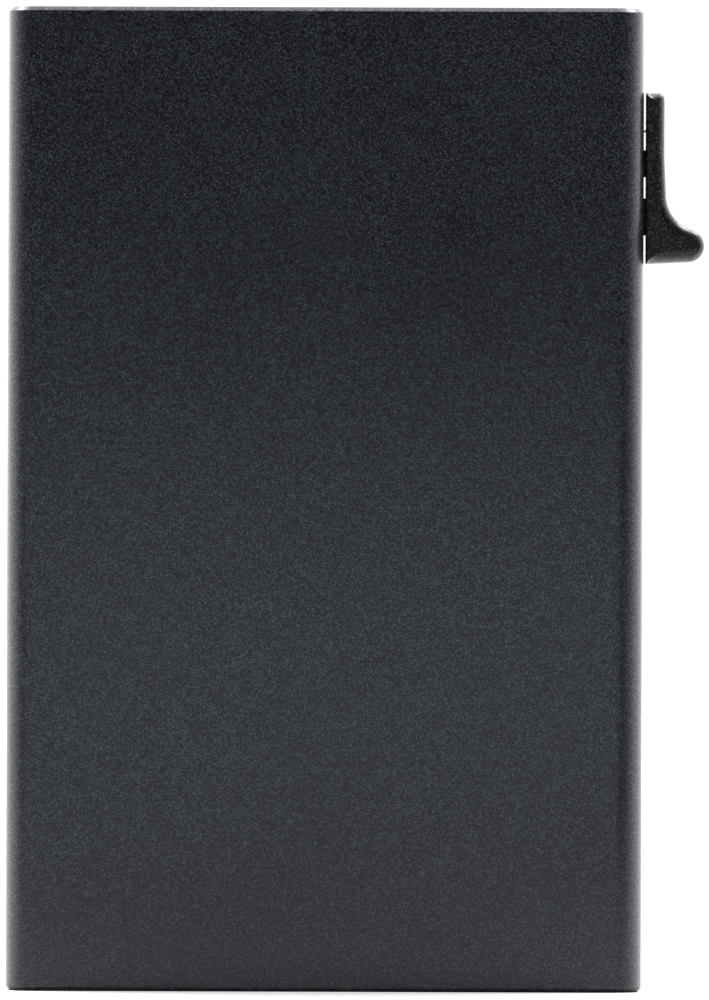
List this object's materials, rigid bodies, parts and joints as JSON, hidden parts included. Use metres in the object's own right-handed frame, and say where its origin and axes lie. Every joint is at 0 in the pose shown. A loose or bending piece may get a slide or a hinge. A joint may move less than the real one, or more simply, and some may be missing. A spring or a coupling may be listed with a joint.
{
  "type": "card case",
  "caption": "Slim black metal card case with a side thumb lever that slides down and pushes the cards out of the open lower end in a stepped fan.",
  "frame": {"origin": "centre of the sleeve's open lower end, the mouth that the cards come out of", "axes": "+Z from the mouth up to the closed end, the case's longest side; front face towards -Y; thumb lever on the +X side"},
  "size_m": [0.0681, 0.009, 0.0962],
  "materials": {
    "anodised_black": "black anodised, fine bead blast",
    "anodised_cap": "black anodised, fine bead blast",
    "lever_black": "satin moulded",
    "plastic_black": "matt moulded",
    "nylon_grey": "smooth moulded, low friction",
    "screw_black": "black oxide",
    "spring_steel": "bright rolled",
    "silicone_grey": "matt",
    "felt_charcoal": "short pile"
  },
  "bodies": {
    "case": {"case_sleeve": "anodised_black", "end_cap": "anodised_cap", "cap_screws": "screw_black", "mouth_frame": "plastic_black", "slot_trim": "plastic_black", "lever_rail": "nylon_grey", "plain_rail": "nylon_grey", "front_liner": "felt_charcoal", "back_liner": "felt_charcoal", "grip_spring": "spring_steel", "grip_pad": "silicone_grey", "rest_bumper": "silicone_grey", "end_bumper": "silicone_grey"},
    "slider": {"thumb_lever": "lever_black", "carriage": "nylon_grey", "card_steps": "nylon_grey", "guide_shoe": "nylon_grey", "steps_screws": "screw_black", "brake_spring": "spring_steel", "brake_pad": "silicone_grey"}
  },
  "joints": [
    {"name": "lever_slide", "type": "slide", "parent": "case", "child": "slider", "axis": [0, 0, -1], "range_m": [0, 0.028]}
  ]
}
